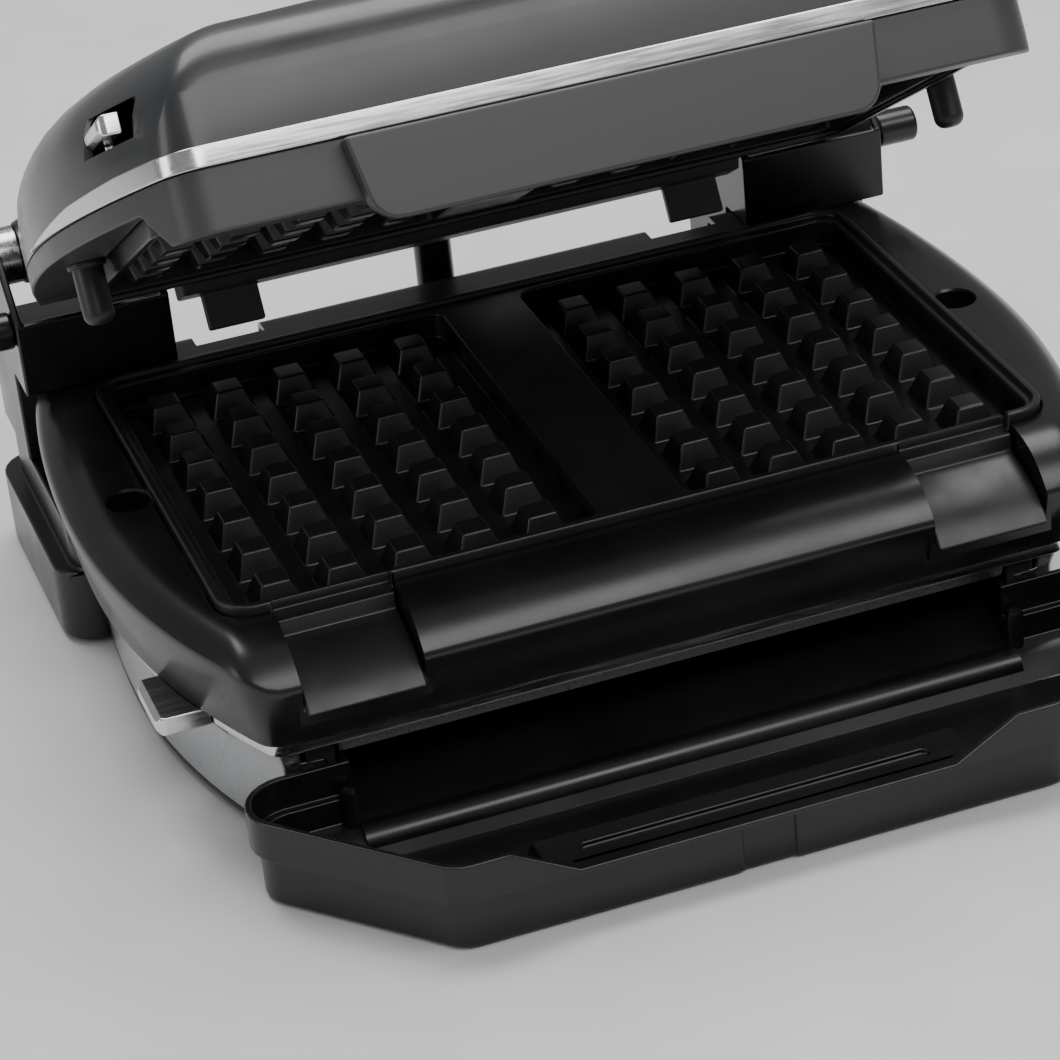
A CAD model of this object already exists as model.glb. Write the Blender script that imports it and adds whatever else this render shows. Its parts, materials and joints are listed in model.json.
"""Looks of a clamshell waffle maker that stands open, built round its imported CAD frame."""
import json
import math

import bmesh
import bpy
from mathutils import Matrix, Vector

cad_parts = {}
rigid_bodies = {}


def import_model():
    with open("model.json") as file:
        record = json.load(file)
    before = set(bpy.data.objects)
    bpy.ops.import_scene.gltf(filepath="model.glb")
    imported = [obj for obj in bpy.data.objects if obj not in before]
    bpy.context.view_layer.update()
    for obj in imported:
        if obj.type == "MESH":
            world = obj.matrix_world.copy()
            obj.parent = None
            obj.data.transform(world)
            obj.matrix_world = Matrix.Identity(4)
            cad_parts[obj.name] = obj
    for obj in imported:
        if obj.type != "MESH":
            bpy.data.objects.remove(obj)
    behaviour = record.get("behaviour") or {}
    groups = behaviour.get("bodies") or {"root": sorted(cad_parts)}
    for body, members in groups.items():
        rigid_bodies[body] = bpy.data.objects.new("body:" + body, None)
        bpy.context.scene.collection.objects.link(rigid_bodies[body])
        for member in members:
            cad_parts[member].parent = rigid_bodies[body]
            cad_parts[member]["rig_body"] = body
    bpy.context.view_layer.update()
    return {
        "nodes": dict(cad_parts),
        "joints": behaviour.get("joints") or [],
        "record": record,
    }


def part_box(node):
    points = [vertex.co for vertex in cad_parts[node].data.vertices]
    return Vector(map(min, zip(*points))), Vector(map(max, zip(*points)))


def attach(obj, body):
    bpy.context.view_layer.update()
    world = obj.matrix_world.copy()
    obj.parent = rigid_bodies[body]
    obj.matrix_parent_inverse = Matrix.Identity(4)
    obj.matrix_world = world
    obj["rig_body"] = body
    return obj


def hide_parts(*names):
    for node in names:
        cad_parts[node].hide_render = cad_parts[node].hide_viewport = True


bl_info = {
    "name": "Waffle Maker",
    "version": (1, 0, 0),
    "blender": (4, 5, 0),
    "location": "3D View > Sidebar > Waffle",
    "description": "Builds the finished surfaces of a waffle maker on its packed frame",
    "category": "Object",
}

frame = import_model()
MM = 0.001
JOINTS = {joint["name"]: joint for joint in frame["joints"]}
SLOT_OF = {part["node"]: part["material_slot"] for part in frame["record"]["subparts"]}
HINGE = Vector(JOINTS["lid_hinge"]["pos_m"])
LID_ANGLE = math.radians(-JOINTS["lid_hinge"]["range_deg"][0])
# Front and rear corner radii of the bodies and the place where they are widest, in millimetres
FRONT_R, BACK_R, WIDEST = 16, 22, 21
# How far the flanks draw in from there towards the front and the rear corners
FRONT_FALL, BACK_FALL = 24, 9
# Turns a point of the shut lid to where the lid stands open
LID_OPEN = (Matrix.Translation(HINGE) @ Matrix.Rotation(-LID_ANGLE, 4, "X")
            @ Matrix.Translation(-HINGE))


# ---------- meshes ----------
def body_of(node):
    return frame["nodes"][node]["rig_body"]


def new_piece(name, mesh):
    piece = bpy.data.objects.new(name, mesh)
    bpy.context.scene.collection.objects.link(piece)
    return piece


def bake(piece):
    """Turns the evaluated result into the piece's own plain mesh and drops its modifiers."""
    graph = bpy.context.evaluated_depsgraph_get()
    mesh = bpy.data.meshes.new_from_object(piece.evaluated_get(graph))
    piece.modifiers.clear()
    piece.data = mesh
    mesh.name = piece.name


def smooth(mesh, angle=35):
    mesh.polygons.foreach_set("use_smooth", [True] * len(mesh.polygons))
    mesh.set_sharp_from_angle(angle=math.radians(angle))


def merged_copy(node, seams=(), turned_by=None):
    """A copy of a CAD node whose loose triangles are merged into faces.

    Seams are planes, each an axis and a place in millimetres, that part faces with holes in them;
    turned_by is the turn the node stands in, which the planes are given without."""
    mesh = frame["nodes"][node].data.copy()
    if turned_by:
        mesh.transform(turned_by.inverted())
    shape = bmesh.new()
    shape.from_mesh(mesh)
    bmesh.ops.remove_doubles(shape, verts=shape.verts[:], dist=2e-5)
    bmesh.ops.dissolve_limit(shape, angle_limit=math.radians(0.4), verts=shape.verts[:],
                             edges=shape.edges[:])
    for axis, place in seams:
        normal = Vector([float(i == axis) for i in range(3)])
        bmesh.ops.bisect_plane(shape, geom=shape.verts[:] + shape.edges[:] + shape.faces[:],
                               dist=1e-6, plane_co=normal * place * MM, plane_no=normal)
    shape.to_mesh(mesh)
    shape.free()
    if turned_by:
        mesh.transform(turned_by)
    return mesh


def rounded(node, width, segments=2, limit=30, sharp=35, seams=(), turned_by=None):
    """A piece with a CAD node's shape and its edges rounded over, shown in its place."""
    piece = new_piece(node + "_shaped", merged_copy(node, seams, turned_by))
    if width > 0:
        bevel = piece.modifiers.new("edges", "BEVEL")
        bevel.width = width * MM
        bevel.segments = segments
        bevel.limit_method = "ANGLE"
        bevel.angle_limit = math.radians(limit)
        bevel.use_clamp_overlap = False
        bevel.miter_outer = "MITER_ARC"
        bake(piece)
    smooth(piece.data, sharp)
    # the broad faces keep flat shading up to the rounded edges
    even = piece.modifiers.new("even", "WEIGHTED_NORMAL")
    even.keep_sharp = True
    bake(piece)
    dress(piece, node)
    return piece


def dress(piece, *nodes):
    """Rides the piece on the nodes' body, in their place and their finish."""
    piece.data.materials.clear()
    piece.data.materials.append(FINISHES[SLOT_OF[nodes[0]]]())
    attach(piece, body_of(nodes[0]))
    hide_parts(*nodes)


def trim(piece, body, slot):
    """Rides an added detail on a body, in a slot's finish."""
    piece.data.materials.clear()
    piece.data.materials.append(FINISHES[slot]())
    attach(piece, body)


# ---------- outlines and hoops, in millimetres ----------
def arc(centre, radius, start, stop, steps):
    """Points on a circle's arc, from one angle to another in degrees."""
    turns = [math.radians(start + (stop - start) * i / steps) for i in range(steps + 1)]
    return [Vector((centre[0] + radius * math.cos(a), centre[1] + radius * math.sin(a))) for a in turns]


def flank_circle(length, bulge):
    """Radius of the arc that falls back by the bulge over a length."""
    return (length * length + bulge * bulge) / (2 * bulge)


def flank_at(y, half_width, front, back):
    """Half width of a body at a distance along it: widest near the middle, drawn in at both ends."""
    if y < WIDEST:
        radius = flank_circle(WIDEST - front - FRONT_R, FRONT_FALL)
    else:
        radius = flank_circle(back - WIDEST - BACK_R, BACK_FALL)
    return half_width - radius + math.sqrt(radius * radius - (y - WIDEST) ** 2)


def body_outline(half_width, front, back, step=4.0):
    """Outline of a body with bulging flanks, as evenly spaced points."""
    front_flank = flank_circle(WIDEST - front - FRONT_R, FRONT_FALL)
    back_flank = flank_circle(back - WIDEST - BACK_R, BACK_FALL)
    rise = WIDEST - front - FRONT_R
    fall = back - BACK_R - WIDEST
    near = (half_width - front_flank + math.sqrt((front_flank - FRONT_R) ** 2 - rise ** 2), front + FRONT_R)
    far = (half_width - back_flank + math.sqrt((back_flank - BACK_R) ** 2 - fall ** 2), back - BACK_R)
    near_turn = math.degrees(math.atan2(-rise, near[0] - half_width + front_flank))
    far_turn = math.degrees(math.atan2(fall, far[0] - half_width + back_flank))
    half = arc(near, FRONT_R, -90, near_turn, 16)
    half += arc((half_width - front_flank, WIDEST), front_flank, near_turn, 0, 30)
    half += arc((half_width - back_flank, WIDEST), back_flank, 0, far_turn, 20)
    half += arc(far, BACK_R, far_turn, 90, 16)
    loop = half + [Vector((-p.x, p.y)) for p in reversed(half)]
    return evenly(loop, step)


def evenly(loop, step):
    """The closed loop walked again in even steps."""
    lengths = [(loop[i - 1] - point).length for i, point in enumerate(loop)]
    lengths = lengths[1:] + lengths[:1]
    total = sum(lengths)
    count = round(total / step)
    points, edge, gone = [], 0, 0.0
    for i in range(count):
        target = total * i / count
        while gone + lengths[edge] < target:
            gone += lengths[edge]
            edge += 1
        share = (target - gone) / lengths[edge] if lengths[edge] else 0
        points.append(loop[edge].lerp(loop[(edge + 1) % len(loop)], share))
    return points


def inset(loop, distance):
    """The loop drawn in by a distance; it runs anticlockwise."""
    moved = []
    for i, point in enumerate(loop):
        along = (loop[(i + 1) % len(loop)] - loop[i - 1]).normalized()
        moved.append(point + distance * Vector((-along.y, along.x)))
    return moved


def onto_opening(point, half_width, front, back, radius):
    """Nearest point of a round-cornered opening."""
    core = Vector((max(-half_width + radius, min(half_width - radius, point.x)),
                   max(front + radius, min(back - radius, point.y))))
    return core + (point - core).normalized() * radius


def corner(before, knee, after, steps=3):
    """Points that round a knee between two others."""
    shares = [i / steps for i in range(steps + 1)]
    return [before.lerp(knee, t).lerp(knee.lerp(after, t), t) for t in shares]


def hoop(name, sections, capped_at=None):
    """A closed skin: every section is a closed loop of points, and the sections close into a ring.

    With capped_at, the wall from that point of the sections to the next gives way to two caps."""
    across = len(sections[0])
    around = len(sections)
    points = [tuple(point * MM) for section in sections for point in section]
    faces = []
    if capped_at is not None:
        faces.append([i * across + capped_at for i in range(around)])
        faces.append([i * across + capped_at + 1 for i in range(around)])
    for i in range(around):
        for j in range(across):
            if j == capped_at:
                continue
            here, right = i * across + j, i * across + (j + 1) % across
            ahead = (i + 1) % around * across
            faces.append((here, right, ahead + (j + 1) % across, ahead + j))
    mesh = bpy.data.meshes.new(name)
    mesh.from_pydata(points, [], faces)
    shape = bmesh.new()
    shape.from_mesh(mesh)
    bmesh.ops.recalc_face_normals(shape, faces=shape.faces[:])
    shape.to_mesh(mesh)
    shape.free()
    return new_piece(name, mesh)


def prism(shape, profile, x0, x1):
    """Adds a closed side-view profile, drawn between two x values."""
    ends = [[shape.verts.new((x * MM, y * MM, z * MM)) for y, z in profile] for x in (x0, x1)]
    count = len(profile)
    faces = [shape.faces.new(ends[0]), shape.faces.new(reversed(ends[1]))]
    for i in range(count):
        j = (i + 1) % count
        faces.append(shape.faces.new((ends[0][j], ends[0][i], ends[1][i], ends[1][j])))
    bmesh.ops.recalc_face_normals(shape, faces=faces)


def turned(shape, x, y, profile, segments=48):
    """Adds a closed turned solid from a profile of radius and height pairs, its axis upright."""
    rings = []
    turns = [2 * math.pi * i / segments for i in range(segments)]
    for radius, z in profile:
        places = [(x + radius * math.cos(a), y + radius * math.sin(a), z) for a in turns]
        rings.append([shape.verts.new([value * MM for value in place]) for place in places])
    faces = [shape.faces.new(rings[0]), shape.faces.new(rings[-1])]
    for low, high in zip(rings, rings[1:]):
        for i in range(segments):
            j = (i + 1) % segments
            faces.append(shape.faces.new((low[i], low[j], high[j], high[i])))
    bmesh.ops.recalc_face_normals(shape, faces=faces)


def piece_from(name, shape):
    mesh = bpy.data.meshes.new(name)
    shape.to_mesh(mesh)
    shape.free()
    return new_piece(name, mesh)


def combine(piece, operation, other):
    """Unites the piece with another or takes the other's volume out of it, and drops the other."""
    tool = piece.modifiers.new("combine", "BOOLEAN")
    tool.operation = operation
    tool.solver = "EXACT"
    tool.object = other
    bake(piece)
    bpy.data.objects.remove(other)


# ---------- finishes ----------
def shader(name, color, roughness, metallic=0.0, **sockets):
    """A material with a Principled shader whose constants sit on its own sockets."""
    finish = bpy.data.materials.new(name)
    finish.use_nodes = True
    surface = finish.node_tree.nodes["Principled BSDF"]
    surface.inputs["Base Color"].default_value = (*color, 1)
    surface.inputs["Roughness"].default_value = roughness
    surface.inputs["Metallic"].default_value = metallic
    for socket, value in sockets.items():
        surface.inputs[socket.replace("_", " ")].default_value = value
    return finish, surface


def pattern(finish, kind="ShaderNodeTexNoise", scale=1000.0, stretch=(1, 1, 1), **inputs):
    """A texture node on Object coordinates, stretched along the given directions."""
    nodes, links = finish.node_tree.nodes, finish.node_tree.links
    place = nodes.new("ShaderNodeTexCoord")
    mapping = nodes.new("ShaderNodeMapping")
    mapping.inputs["Scale"].default_value = stretch
    texture = nodes.new(kind)
    texture.inputs["Scale"].default_value = scale
    for socket, value in inputs.items():
        texture.inputs[socket].default_value = value
    links.new(place.outputs["Object"], mapping.inputs["Vector"])
    links.new(mapping.outputs["Vector"], texture.inputs["Vector"])
    return texture


def vary(finish, source, target, low, high, start=0.35, stop=0.65):
    """Maps a pattern's value to a number or a colour on the target socket."""
    nodes, links = finish.node_tree.nodes, finish.node_tree.links
    if target.type == "RGBA":
        ramp = nodes.new("ShaderNodeValToRGB")
        ramp.color_ramp.elements[0].position = start
        ramp.color_ramp.elements[1].position = stop
        ramp.color_ramp.elements[0].color = (*low, 1)
        ramp.color_ramp.elements[1].color = (*high, 1)
        links.new(source, ramp.inputs["Fac"])
        links.new(ramp.outputs["Color"], target)
        return
    span = nodes.new("ShaderNodeMapRange")
    for socket, value in (("From Min", start), ("From Max", stop), ("To Min", low), ("To Max", high)):
        span.inputs[socket].default_value = value
    links.new(source, span.inputs["Value"])
    links.new(span.outputs["Result"], target)


def relief(finish, surface, source, strength, depth):
    bump = finish.node_tree.nodes.new("ShaderNodeBump")
    bump.inputs["Strength"].default_value = strength
    bump.inputs["Distance"].default_value = depth
    finish.node_tree.links.new(source, bump.inputs["Height"])
    finish.node_tree.links.new(bump.outputs["Normal"], surface.inputs["Normal"])


def moulded(name, color, lift, roughness, grain=2600.0, strength=0.12, **sockets):
    """Moulded plastic: fine moulding grain, cloudy gloss and a little colour drift."""
    finish, surface = shader(name, color, roughness, **sockets)
    cloud = pattern(finish, scale=22.0, Detail=3.0)
    vary(finish, cloud.outputs["Fac"], surface.inputs["Roughness"], roughness - 0.04, roughness + 0.05)
    vary(finish, cloud.outputs["Fac"], surface.inputs["Base Color"], color, lift)
    skin = pattern(finish, scale=grain, Detail=2.0)
    relief(finish, surface, skin.outputs["Fac"], strength, 0.00005)
    return finish


def metal(name, color, lift, roughness, stretch, strength=0.15, **sockets):
    """Metal with drawn or brushed lines along the direction that the stretch leaves short."""
    finish, surface = shader(name, color, roughness, 1.0, **sockets)
    lines = pattern(finish, scale=900.0, stretch=stretch, Detail=4.0)
    vary(finish, lines.outputs["Fac"], surface.inputs["Roughness"], roughness * 0.75, roughness * 1.35)
    vary(finish, lines.outputs["Fac"], surface.inputs["Base Color"], color, lift)
    relief(finish, surface, lines.outputs["Fac"], strength, 0.00002)
    return finish


def once(make):
    """Keeps one material per finish."""
    made = []

    def get():
        if not made:
            made.append(make())
        return made[0]
    return get


@once
def black_housing():
    return moulded("satin_black_plastic", (0.0065, 0.0065, 0.007), (0.009, 0.009, 0.0095), 0.26,
                   Specular_IOR_Level=0.5)


@once
def silver_shell():
    return metal("silver_paint", (0.44, 0.45, 0.47), (0.47, 0.48, 0.50), 0.34, (1, 1, 1), 0.01,
                 Coat_Weight=0.4, Coat_Roughness=0.15)


@once
def bright_trim():
    return metal("bright_metal", (0.74, 0.74, 0.76), (0.80, 0.80, 0.82), 0.17, (0.05, 1, 1), 0.01)


@once
def graphite_shell():
    return moulded("satin_graphite_plastic", (0.044, 0.044, 0.046), (0.051, 0.051, 0.053), 0.42,
                   grain=3200.0, strength=0.16)


@once
def lid_gloss():
    return moulded("gloss_graphite_lacquer", (0.026, 0.027, 0.029), (0.031, 0.032, 0.034), 0.36,
                   grain=1800.0, strength=0.03, Coat_Weight=0.25, Coat_Roughness=0.12)


@once
def plate_coating():
    """Dark non-stick coating with a fine sparkle and a slight orange peel."""
    finish, surface = shader("non_stick_coating", (0.012, 0.012, 0.012), 0.34)
    sparkle = pattern(finish, "ShaderNodeTexVoronoi", scale=1500.0)
    vary(finish, sparkle.outputs["Distance"], surface.inputs["Base Color"],
         (0.060, 0.060, 0.062), (0.011, 0.011, 0.0115), 0.05, 0.22)
    cloud = pattern(finish, scale=45.0, Detail=3.0)
    vary(finish, cloud.outputs["Fac"], surface.inputs["Roughness"], 0.28, 0.40)
    peel = pattern(finish, scale=700.0, Detail=2.0)
    relief(finish, surface, peel.outputs["Fac"], 0.25, 0.00006)
    return finish


@once
def heater_steel():
    """Heater tube, straw and blue where it has been hot."""
    finish, surface = shader("heat_tinted_steel", (0.30, 0.26, 0.22), 0.38, 1.0)
    tint = pattern(finish, scale=35.0, Detail=4.0)
    vary(finish, tint.outputs["Fac"], surface.inputs["Base Color"], (0.20, 0.19, 0.23), (0.42, 0.33, 0.22))
    relief(finish, surface, pattern(finish, scale=1600.0).outputs["Fac"], 0.15, 0.00003)
    return finish


@once
def bare_aluminium():
    return metal("pressed_aluminium", (0.58, 0.58, 0.60), (0.70, 0.70, 0.72), 0.30, (1, 0.06, 1))


@once
def steel():
    return metal("plated_steel", (0.46, 0.46, 0.47), (0.60, 0.60, 0.61), 0.26, (1, 1, 0.2))


@once
def rubber():
    return moulded("foot_rubber", (0.018, 0.018, 0.018), (0.026, 0.026, 0.026), 0.72, grain=1200.0,
                   strength=0.4)


@once
def dark_plastic():
    return moulded("dark_moulded_plastic", (0.014, 0.014, 0.015), (0.019, 0.019, 0.020), 0.42,
                   grain=1700.0, strength=0.3)


@once
def cream_plastic():
    return moulded("cream_ceramic", (0.62, 0.58, 0.48), (0.70, 0.66, 0.56), 0.45, grain=1400.0,
                   strength=0.2)


@once
def wire_insulation():
    return moulded("silicone_insulation", (0.34, 0.022, 0.018), (0.42, 0.034, 0.026), 0.5, strength=0.2)


@once
def circuit_board():
    """Green solder mask over copper tracks."""
    finish, surface = shader("solder_mask", (0.012, 0.09, 0.035), 0.35)
    tracks = pattern(finish, "ShaderNodeTexBrick", scale=120.0)
    for socket, value in (("Color1", (0.010, 0.075, 0.030, 1)), ("Color2", (0.014, 0.10, 0.040, 1)),
                          ("Mortar", (0.030, 0.17, 0.075, 1)), ("Mortar Size", 0.04)):
        tracks.inputs[socket].default_value = value
    finish.node_tree.links.new(tracks.outputs["Color"], surface.inputs["Base Color"])
    relief(finish, surface, tracks.outputs["Fac"], 0.3, 0.00004)
    return finish


@once
def amber_lens():
    finish, surface = shader("amber_lens", (0.80, 0.16, 0.02), 0.18, Transmission_Weight=0.35,
                             Coat_Weight=0.5)
    ribs = pattern(finish, "ShaderNodeTexWave", scale=600.0)
    relief(finish, surface, ribs.outputs["Fac"], 0.2, 0.00006)
    return finish


FINISHES = {
    "black_housing": black_housing, "silver_shell": silver_shell, "bright_trim": bright_trim,
    "graphite_shell": graphite_shell, "lid_gloss": lid_gloss, "plate_coating": plate_coating,
    "heater_steel": heater_steel, "bare_aluminium": bare_aluminium, "steel": steel, "rubber": rubber,
    "dark_plastic": dark_plastic, "cream_plastic": cream_plastic, "wire_insulation": wire_insulation,
    "circuit_board": circuit_board, "amber_lens": amber_lens}


# ---------- node trees ----------
def tree_with(name, sizes):
    """A geometry tree whose group inputs are the named sizes, given with their defaults."""
    tree = bpy.data.node_groups.new(name, "GeometryNodeTree")
    tree.interface.new_socket("Geometry", in_out="OUTPUT", socket_type="NodeSocketGeometry")
    for label, default in sizes.items():
        kind = "NodeSocketInt" if isinstance(default, int) else "NodeSocketFloat"
        tree.interface.new_socket(label, in_out="INPUT", socket_type=kind).default_value = default
    return tree, tree.nodes.new("NodeGroupInput"), tree.nodes.new("NodeGroupOutput")


def close_tree(tree, geometry, output, finish):
    """Ends a tree in Realize Instances and Set Material."""
    real = tree.nodes.new("GeometryNodeRealizeInstances")
    coat = tree.nodes.new("GeometryNodeSetMaterial")
    coat.inputs["Material"].default_value = finish
    tree.links.new(geometry, real.inputs["Geometry"])
    tree.links.new(real.outputs["Geometry"], coat.inputs["Geometry"])
    tree.links.new(coat.outputs["Geometry"], output.inputs["Geometry"])


def grown(name, tree, sizes, place):
    """A piece grown by a geometry tree with the given sizes, then moved to its place in its mesh."""
    piece = new_piece(name, bpy.data.meshes.new(name))
    modifier = piece.modifiers.new("grow", "NODES")
    modifier.node_group = tree
    sockets = {item.name: item.identifier for item in tree.interface.items_tree if item.in_out == "INPUT"}
    for label, value in sizes.items():
        modifier[sockets[label]] = value
    bake(piece)
    piece.data.transform(place)
    smooth(piece.data, 50)
    return piece


def coil_tree(finish):
    """A coil spring along Z."""
    sizes = {"Turns": 4.0, "Radius": 0.003, "Height": 0.003, "Wire": 0.0005}
    tree, given, out = tree_with("coil_spring", sizes)
    spiral = tree.nodes.new("GeometryNodeCurveSpiral")
    spiral.inputs["Resolution"].default_value = 28
    ring = tree.nodes.new("GeometryNodeCurvePrimitiveCircle")
    ring.inputs["Resolution"].default_value = 10
    sweep = tree.nodes.new("GeometryNodeCurveToMesh")
    sweep.inputs["Fill Caps"].default_value = True
    links = tree.links
    links.new(given.outputs["Turns"], spiral.inputs["Rotations"])
    links.new(given.outputs["Radius"], spiral.inputs["Start Radius"])
    links.new(given.outputs["Radius"], spiral.inputs["End Radius"])
    links.new(given.outputs["Height"], spiral.inputs["Height"])
    links.new(given.outputs["Wire"], ring.inputs["Radius"])
    links.new(spiral.outputs["Curve"], sweep.inputs["Curve"])
    links.new(ring.outputs["Curve"], sweep.inputs["Profile Curve"])
    close_tree(tree, sweep.outputs["Mesh"], out, finish)
    return tree


# ---------- housing ----------
def millimetre_box(node):
    return [Vector(place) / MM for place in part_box(node)]


def housing_drop(point, half_width, front, back):
    """How far the housing's top has fallen at a point: a long fall in front, shorter ones at the flanks."""
    side = flank_at(point.y, half_width, front, back) - abs(point.x)
    falls = ((14.4, 30, point.y - front), (8.0, 16, side), (6.0, 6, back - point.y))
    total = 0.0
    for depth, reach, distance in falls:
        share = min(1.0, max(0.0, 1 - distance / reach))
        total += (depth * share ** 2.6) ** 3
    return total ** (1 / 3)


def build_housing():
    """The base housing as one domed skin round the plate, with spout beds and guide holes cut in."""
    low, high = millimetre_box("base_top_housing")
    half_width, front, back, bottom = high.x, low.y, high.y, low.z
    top = 87.0
    # half width, front, back and corner radius of the opening that the plate sits in
    opening = (152.7, -81.7, 109.7, 12.7)
    rim = body_outline(half_width, front, back)
    # the wall draws in to its lower edge, outside and inside
    tucked = [inset(rim, 6.3), inset(rim, 5.9), inset(rim, 0.6)]
    inner = [inset(rim, 8.8), inset(rim, 2.6)]

    def surface(at):
        clamped = Vector((at.x, min(max(at.y, front + 0.5), back - 0.5)))
        return Vector((*at, top - housing_drop(clamped, half_width, front, back)))

    sections = []
    for i, edge in enumerate(rim):
        mouth = onto_opening(edge, *opening)
        shoulder = surface(edge)
        first = surface(edge.lerp(mouth, 0.05))
        below = Vector((*tucked[2][i], shoulder.z - 2.4))
        section = [Vector((*tucked[0][i], bottom)), Vector((*tucked[1][i], bottom + 0.5))]
        section += corner(below, shoulder, first)
        section += [surface(edge.lerp(mouth, share)) for share in
                    (0.1, 0.16, 0.23, 0.31, 0.4, 0.5, 0.62, 0.75, 0.88)]
        lip = surface(edge.lerp(mouth, 0.97))
        section += corner(lip, Vector((*mouth, top)), Vector((*mouth, top - 0.9)))
        section += [surface(edge.lerp(mouth, share)) - Vector((0, 0, 2.5)) for share in
                    (1.0, 0.7, 0.4, 0.22, 0.13)]
        section += [Vector((*inner[1][i], shoulder.z - 3.0)), Vector((*inner[0][i], bottom))]
        sections.append(section)
    housing = hoop("base_top_housing_shaped", sections)

    # blocks round the spouts and cups under the guide holes, a little under the skin
    shape = bmesh.new()
    for side in (-1, 1):
        wall = [surface(Vector((side * 114, front + y))) for y in range(2, 30, 3)]
        profile = [(p.y, p.z - 0.5) for p in wall] + [(wall[-1].y, 57.5), (wall[0].y, 57.5)]
        prism(shape, profile, side * 114 - 23.2, side * 114 + 23.2)
        turned(shape, side * 160, 17, ((9.8, 73.0), (9.8, 86.6)))
    combine(housing, "UNION", piece_from("housing_fill", shape))

    shape = bmesh.new()
    # side view of the spout's bed, from the drip edge back to the plate
    bed = ((-110.7, 61.2), (-107.5, 64.7), (-101.5, 68.9), (-92.5, 72.9), (-84.5, 75.4), (-76, 75.4),
           (-76, 95.5), (-116, 95.5), (-116, 58.4))
    for side in (-1, 1):
        prism(shape, bed, side * 114 - 21.35, side * 114 + 21.35)
        turned(shape, side * 160, 17, ((7.8, 76.0), (7.8, 86.2), (8.7, 87.1), (8.7, 88.0)))
        prism(shape, ((123, 71), (136, 71), (136, 90), (123, 90)), side * 93 - 13.5, side * 93 + 13.5)
    combine(housing, "DIFFERENCE", piece_from("housing_cutter", shape))
    smooth(housing.data, 32)
    dress(housing, "base_top_housing")


# ---------- lid ----------
def round_fall(distance, radius):
    """How far a quarter circle falls at a distance in from its foot."""
    reach = max(0.0, radius - max(0.0, distance))
    return radius - math.sqrt(radius * radius - reach * reach)


def lid_drop(point, half_width, front, back):
    """How far the lid's top has fallen at a point: round in front and at the flanks, sloped to the rear."""
    side = flank_at(point.y, half_width, front, back) - abs(point.x)
    falls = (round_fall(point.y - front, 22), round_fall(side, 34) + 3 * max(0.0, 1 - max(0.0, side) / 90),
             24 * max(0.0, 1 - (back - point.y) / 60) ** 3.5)
    return sum(fall ** 3 for fall in falls) ** (1 / 3)


def band_top(y):
    """Height of the lid's bright band at a distance along the lid: full in front, run out by the hinge."""
    steps = ((-74, 116), (-37, 114.5), (-7, 111.5), (23, 109))
    if y <= steps[0][0]:
        return steps[0][1] + 0.2
    for (y0, z0), (y1, z1) in zip(steps, steps[1:]):
        if y <= y1:
            return z0 + (z1 - z0) * (y - y0) / (y1 - y0) + 0.2
    return 109.0


def build_lid_top():
    """The lid's top as a domed skin, drawn shut and then turned to where the lid stands open."""
    half_width, front, back, crown = 175.5, -104, 134, 157.0
    notch_x, notch_y = 112, 112
    rim = body_outline(half_width, front, back)
    # the rear corners are cut out in front of the hinge towers
    wide = flank_at(notch_y, half_width, front, back)
    kept = [point for point in rim if not (abs(point.x) > notch_x and point.y > notch_y)]
    pairs = list(enumerate(zip(kept, kept[1:] + kept[:1])))
    turn_out = next(i for i, (here, after) in pairs if here.x > notch_x and after.y > notch_y)
    turn_in = next(i for i, (here, after) in pairs if here.y > notch_y and after.x < -notch_x)
    right = [Vector((wide + (notch_x - wide) * i / 12, notch_y)) for i in range(13)]
    right += [Vector((notch_x, y)) for y in (117, 122, 128, back - 0.3)]
    left = [Vector((-point.x, point.y)) for point in reversed(right)]
    rim = kept[:turn_out + 1] + right + kept[turn_out + 1:turn_in + 1] + left + kept[turn_in + 1:]

    def surface(at, drop=0.0):
        return Vector((*at, crown - drop - lid_drop(at, half_width, front, back)))

    inner = inset(rim, 2.5)
    sections = []
    for i, edge in enumerate(rim):
        mouth = onto_opening(edge, 60, -60, 60, 20)
        shoulder = surface(edge)
        foot = band_top(edge.y)
        low = max(foot + 1, shoulder.z - 1.6)
        first = edge.lerp(mouth, 0.02)
        outside = [Vector((*edge, foot))] + corner(Vector((*edge, low)), shoulder, surface(first))
        outside += [surface(edge.lerp(mouth, share)) for share in
                    (0.035, 0.055, 0.08, 0.11, 0.15, 0.2, 0.26, 0.33, 0.42, 0.55, 0.75, 1.0)]
        inside = [surface(edge.lerp(mouth, share), 2.5) for share in (1.0, 0.7, 0.4, 0.25, 0.15)]
        near = inner[i].lerp(mouth, 0.03)
        inside += [surface(near, 2.5), Vector((*inner[i], foot))]
        sections.append(outside + inside)
    top = hoop("lid_top_shell_shaped", sections, capped_at=len(outside) - 1)

    shape = bmesh.new()
    turned(shape, 0, -58, ((12, 143), (12, crown - 0.4)))
    combine(top, "UNION", piece_from("lid_fill", shape))
    shape = bmesh.new()
    turned(shape, 0, -58, ((9.3, 126), (9.3, crown - 0.6), (9.9, crown), (9.9, 160)))
    turned(shape, 26, -58, ((3, 126), (3, crown - 0.3), (3.3, crown), (3.3, 160)), 32)
    window = ((-86, 125.5), (-54, 125.5), (-54, 138.5), (-86, 138.5))
    for side in (-1, 1):
        prism(shape, window, side * 147.5, side * 184)
    combine(top, "DIFFERENCE", piece_from("lid_cutter", shape))
    top.data.transform(LID_OPEN)
    smooth(top.data, 32)
    dress(top, "lid_top_shell")


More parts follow.
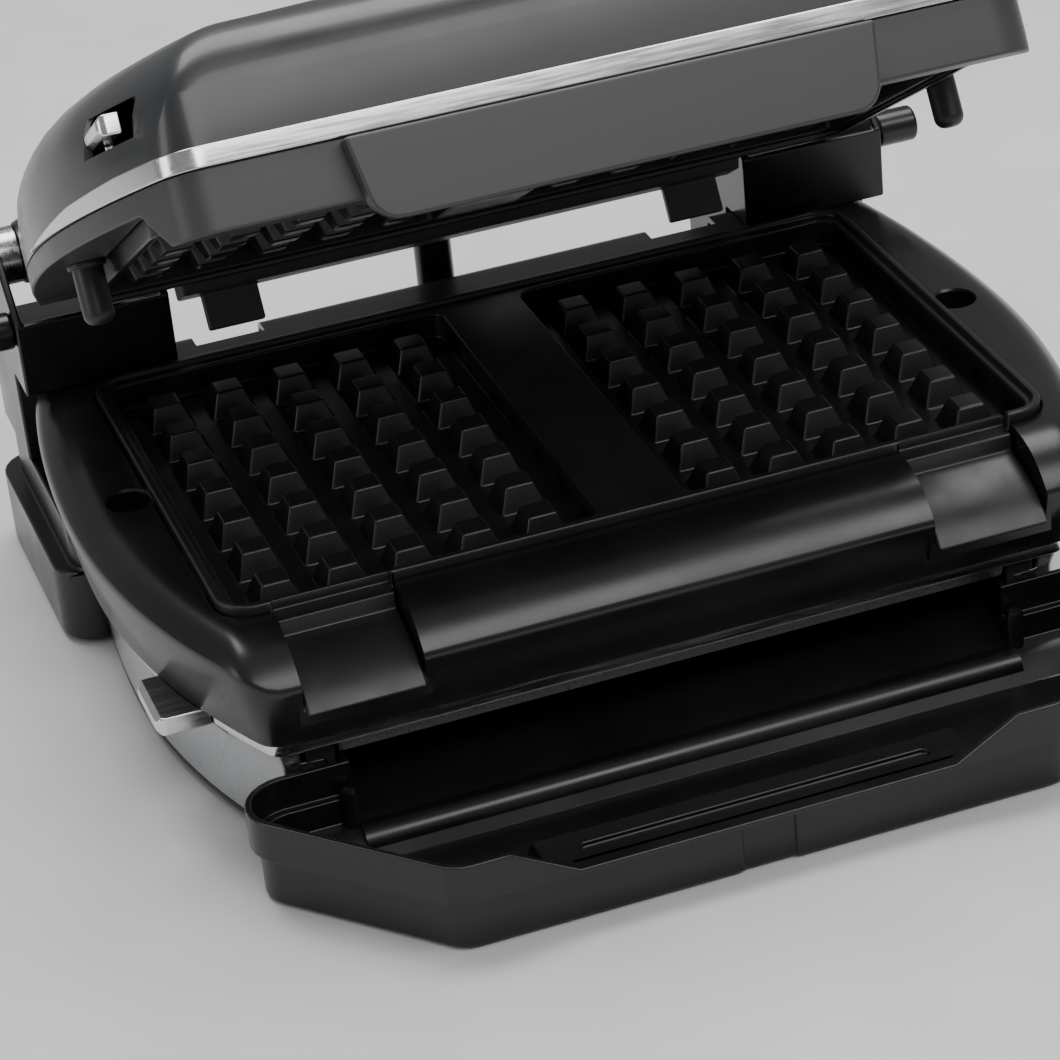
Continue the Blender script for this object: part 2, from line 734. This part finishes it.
# ---------- operators ----------
class WAFFLE_OT_base(bpy.types.Operator):
    """Shape the base: housing, bands, shells, towers and feet"""
    bl_idname = "waffle.base"
    bl_label = "Base"

    def execute(self, context):
        edge = context.scene.waffle_sizes.edge_radius / MM
        build_housing()
        rounded("base_trim_band", 1.2, 3)
        rounded("base_lower_shell", 0.8 * edge)
        # seams run between the rear vents and through their middle
        rounded("rear_housing", 1.0, 3, seams=[(0, -69 + 12 * i) for i in range(13)] + [(2, 17)])
        rounded("bottom_cover", 0.4)
        rounded("rubber_feet", 1.4, 4)
        rounded("hinge_tower_left", 1.1 * edge, 3)
        rounded("hinge_tower_right", 1.1 * edge, 3)
        rounded("hinge_side_caps", 1.6, 4)
        rounded("cable_duct", 0.6)
        rounded("cord_inlet", 0.5)
        rounded("tray_guides", 0.4)
        return {"FINISHED"}


class WAFFLE_OT_plates(bpy.types.Operator):
    """Shape the two waffle plates with their studs and spouts"""
    bl_idname = "waffle.plates"
    bl_label = "Waffle plates"

    def execute(self, context):
        edge = context.scene.waffle_sizes.stud_radius / MM
        # seams run through every stud's middle and every channel's middle
        across = [(0, side * (81 + 12 * i)) for side in (-1, 1) for i in range(-5, 6)]
        along = [(1, 13 + 12 * i) for i in range(-7, 8)]
        rounded("lower_plate", edge, 3, 20, seams=across + along)
        rounded("upper_plate", edge, 3, 20, seams=across + along, turned_by=LID_OPEN)
        return {"FINISHED"}


class WAFFLE_OT_lid(bpy.types.Operator):
    """Shape the lid: shells, bright band, handle, arms and guide pins"""
    bl_idname = "waffle.lid"
    bl_label = "Lid"

    def execute(self, context):
        edge = context.scene.waffle_sizes.edge_radius / MM
        rounded("lid_lower_shell", 1.1 * edge, 3)
        build_lid_top()
        rounded("lid_trim_band", 0.5, 3)
        rounded("lid_handle", 1.3, 4)
        rounded("guide_pins", 0.4)
        rounded("lid_arm_left", 1.2, 3)
        rounded("lid_arm_right", 1.2, 3)
        rounded("lid_cable_sleeve", 0.6)
        return {"FINISHED"}


class WAFFLE_OT_levers(bpy.types.Operator):
    """Shape the four release levers"""
    bl_idname = "waffle.levers"
    bl_label = "Release levers"

    def execute(self, context):
        for node in ("lever_lower_left", "lever_lower_right", "lever_upper_left", "lever_upper_right"):
            rounded(node, 0.7, 3)
        return {"FINISHED"}


class WAFFLE_OT_tray(bpy.types.Operator):
    """Shape the drip tray"""
    bl_idname = "waffle.tray"
    bl_label = "Drip tray"

    def execute(self, context):
        rounded("drip_tray", 0.6, 3)
        # round bar along the ridge, and the posts it ends in
        shape = bmesh.new()
        bar = arc((-110, 7.2), 7.0, 215, 10, 18)
        prism(shape, [(p.x, p.y) for p in bar], -121.5, 121.5)
        for side in (-1, 1):
            turned(shape, side * 123.5, -106, ((3.2, 5.0), (3.2, 25.5), (2.6, 27.0), (1.4, 27.6)), 32)
        bar = piece_from("tray_ridge", shape)
        smooth(bar.data, 40)
        trim(bar, "drip_tray", "black_housing")
        return {"FINISHED"}


class WAFFLE_OT_springs(bpy.types.Operator):
    """Wind the springs of the levers and the button"""
    bl_idname = "waffle.springs"
    bl_label = "Springs"

    def execute(self, context):
        coil = coil_tree(steel())
        for node, body in (("base_lever_springs", "base"), ("lid_lever_springs", "lid")):
            source = frame["nodes"][node]
            halves = [[v.co for v in source.data.vertices if v.co.x * side > 0] for side in (-1, 1)]
            turn = LID_OPEN.to_3x3() if body == "lid" else Matrix.Identity(3)
            for side, points in zip(("left", "right"), halves):
                centre = sum(points, Vector()) / len(points)
                place = (Matrix.Translation(centre) @ turn.to_4x4()
                         @ Matrix.Rotation(math.radians(90), 4, "X") @ Matrix.Translation((0, 0, -0.0011)))
                piece = grown(f"{node}_{side}", coil,
                              {"Turns": 3.0, "Radius": 0.0029, "Height": 0.0022, "Wire": 0.00035}, place)
                trim(piece, body, "steel")
                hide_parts(node)
        source = frame["nodes"]["button_spring"]
        centre = sum((v.co for v in source.data.vertices), Vector()) / len(source.data.vertices)
        place = (Matrix.Translation(centre) @ LID_OPEN.to_3x3().to_4x4()
                 @ Matrix.Translation((0, 0, -0.0018)))
        piece = grown("button_spring_coil", coil,
                      {"Turns": 4.0, "Radius": 0.0052, "Height": 0.0036, "Wire": 0.0005}, place)
        trim(piece, "lid", "steel")
        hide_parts("button_spring")
        return {"FINISHED"}


class WAFFLE_OT_works(bpy.types.Operator):
    """Finish the inner works: heaters, reflectors, sensors, wires, pins and screws"""
    bl_idname = "waffle.works"
    bl_label = "Inner works"

    def execute(self, context):
        rounded("lower_thermostat", 0.4)
        rounded("upper_thermostat", 0.4)
        rounded("terminal_block", 0.5)
        rounded("control_board", 0.1)
        rounded("indicator_lens", 0.3)
        rounded("power_button", 0.7, 3)
        rounded("base_screws", 0.3)
        rounded("lid_arm_screws", 0.3)
        rounded("hinge_pins", 0.5)
        rounded("hinge_washers", 0.3)
        shown = [o for o in frame["nodes"].values() if not o.hide_render]
        for node in shown:
            node.data.materials.clear()
            node.data.materials.append(FINISHES[SLOT_OF[node.name]]())
        return {"FINISHED"}


def area_light(name, place, aim, size, power, color=(1, 1, 1)):
    lamp = bpy.data.lights.new(name, "AREA")
    lamp.shape = "RECTANGLE"
    lamp.size, lamp.size_y = size
    lamp.energy = power
    lamp.color = color
    holder = bpy.data.objects.new(name, lamp)
    holder.location = place
    holder.rotation_euler = (Vector(aim) - Vector(place)).to_track_quat("-Z", "Y").to_euler()
    bpy.context.scene.collection.objects.link(holder)


class WAFFLE_OT_stage(bpy.types.Operator):
    """Set the floor, the studio lights and the camera"""
    bl_idname = "waffle.stage"
    bl_label = "Stage"

    def execute(self, context):
        sizes = context.scene.waffle_sizes
        floor = new_piece("floor", bpy.data.meshes.new("floor"))
        shape = bmesh.new()
        bmesh.ops.create_grid(shape, x_segments=1, y_segments=1, size=6)
        shape.to_mesh(floor.data)
        shape.free()
        floor.data.materials.append(moulded("pale_floor", (0.70, 0.70, 0.69), (0.73, 0.73, 0.72), 0.6,
                                            grain=400.0, strength=0.1))
        world = bpy.data.worlds.new("studio")
        world.use_nodes = True
        world.node_tree.nodes["Background"].inputs["Color"].default_value = (0.86, 0.87, 0.88, 1)
        world.node_tree.nodes["Background"].inputs["Strength"].default_value = sizes.room_light
        context.scene.world = world
        area_light("overhead", (0.1, 0.5, 1.6), (0, 0, 0.1), (1.6, 0.9), sizes.key_light)
        area_light("front_strip", (0.3, -1.0, 1.35), (0, -0.1, 0.05), (1.8, 0.45), sizes.key_light * 0.42)
        area_light("left_wall", (-1.5, -0.1, 0.5), (0, 0, 0.1), (0.4, 0.9), sizes.key_light * 0.1)
        lens = bpy.data.cameras.new("camera")
        lens.lens = 126.49
        lens.sensor_width = 36
        holder = bpy.data.objects.new("camera", lens)
        right = Vector((0.9386, -0.3333, -0.0884))
        up = Vector((0.2385, 0.4423, 0.8646))
        back = Vector((-0.2490, -0.8327, 0.4947))
        holder.matrix_world = Matrix.Translation((-0.357, -1.130, 0.716)) @ Matrix(
            (right, up, back)).transposed().to_4x4()
        context.scene.collection.objects.link(holder)
        context.scene.camera = holder
        return {"FINISHED"}


class WaffleSizes(bpy.types.PropertyGroup):
    edge_radius: bpy.props.FloatProperty(
        name="Edge radius", description="Rounding of the mouldings' edges", default=0.9 * MM,
        min=0.1 * MM, max=2 * MM, subtype="DISTANCE", unit="LENGTH", precision=5)
    stud_radius: bpy.props.FloatProperty(
        name="Stud radius", description="Rounding of the studs' edges", default=0.9 * MM,
        min=0.1 * MM, max=2 * MM, subtype="DISTANCE", unit="LENGTH", precision=5)
    key_light: bpy.props.FloatProperty(
        name="Key light", description="Power of the overhead light", default=30.0, subtype="POWER",
        unit="POWER")
    room_light: bpy.props.FloatProperty(
        name="Room light", description="Strength of the light from all round", default=0.32)


class WAFFLE_PT_panel(bpy.types.Panel):
    bl_label = "Waffle maker"
    bl_space_type = "VIEW_3D"
    bl_region_type = "UI"
    bl_category = "Waffle"

    def draw(self, context):
        sizes = context.scene.waffle_sizes
        for prop in ("edge_radius", "stud_radius", "key_light", "room_light"):
            self.layout.prop(sizes, prop)
        for step in STEPS:
            self.layout.operator(step.bl_idname)


STEPS = (WAFFLE_OT_base, WAFFLE_OT_plates, WAFFLE_OT_lid, WAFFLE_OT_levers, WAFFLE_OT_tray,
         WAFFLE_OT_springs, WAFFLE_OT_works, WAFFLE_OT_stage)
CLASSES = (WaffleSizes, *STEPS, WAFFLE_PT_panel)


def register():
    for cls in CLASSES:
        bpy.utils.register_class(cls)
    bpy.types.Scene.waffle_sizes = bpy.props.PointerProperty(type=WaffleSizes)


def unregister():
    del bpy.types.Scene.waffle_sizes
    for cls in reversed(CLASSES):
        bpy.utils.unregister_class(cls)


def main():
    register()
    for step in STEPS:
        group, name = step.bl_idname.split(".")
        getattr(getattr(bpy.ops, group), name)()


if __name__ == "__main__":
    main()
